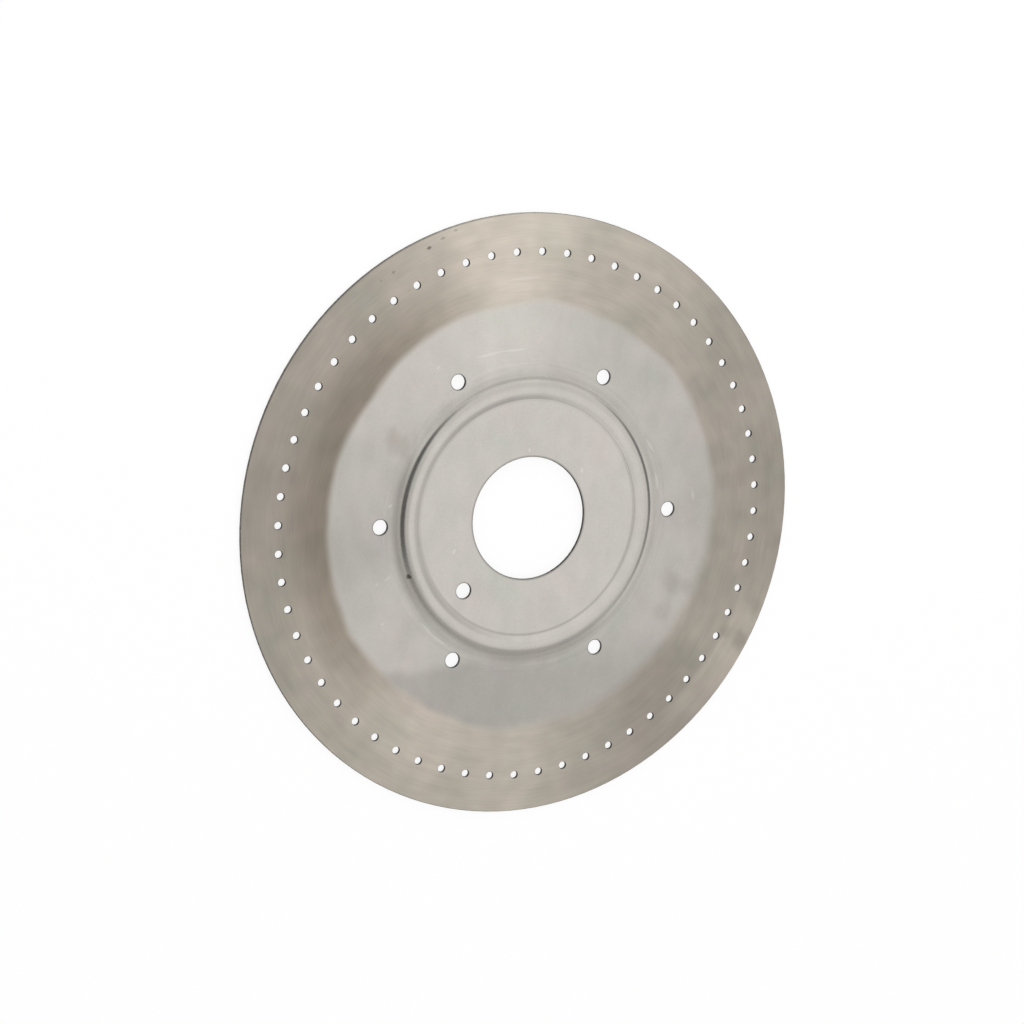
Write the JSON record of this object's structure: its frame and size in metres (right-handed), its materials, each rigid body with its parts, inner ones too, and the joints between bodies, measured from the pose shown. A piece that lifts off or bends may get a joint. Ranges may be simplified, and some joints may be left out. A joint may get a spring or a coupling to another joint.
{
  "type": "planter seed plate",
  "caption": "Round stainless seed plate for a vacuum planter: thin sheet with a ring of seed holes near the rim, a hub bore, a drive pin hole, fixing holes and a stiffening bead.",
  "frame": {"origin": "on the axis of the plate, in the plane of its flat back", "axes": "+Z along the axis of the plate, out of its front face, which the bead stands on; +X through the first fixing hole"},
  "size_m": [0.24, 0.24, 0.0024],
  "materials": {
    "plate": "outer band ground in circles, middle left as rolled, edges deburred"
  },
  "bodies": {
    "root": {"seed_plate": "plate"}
  },
  "joints": []
}
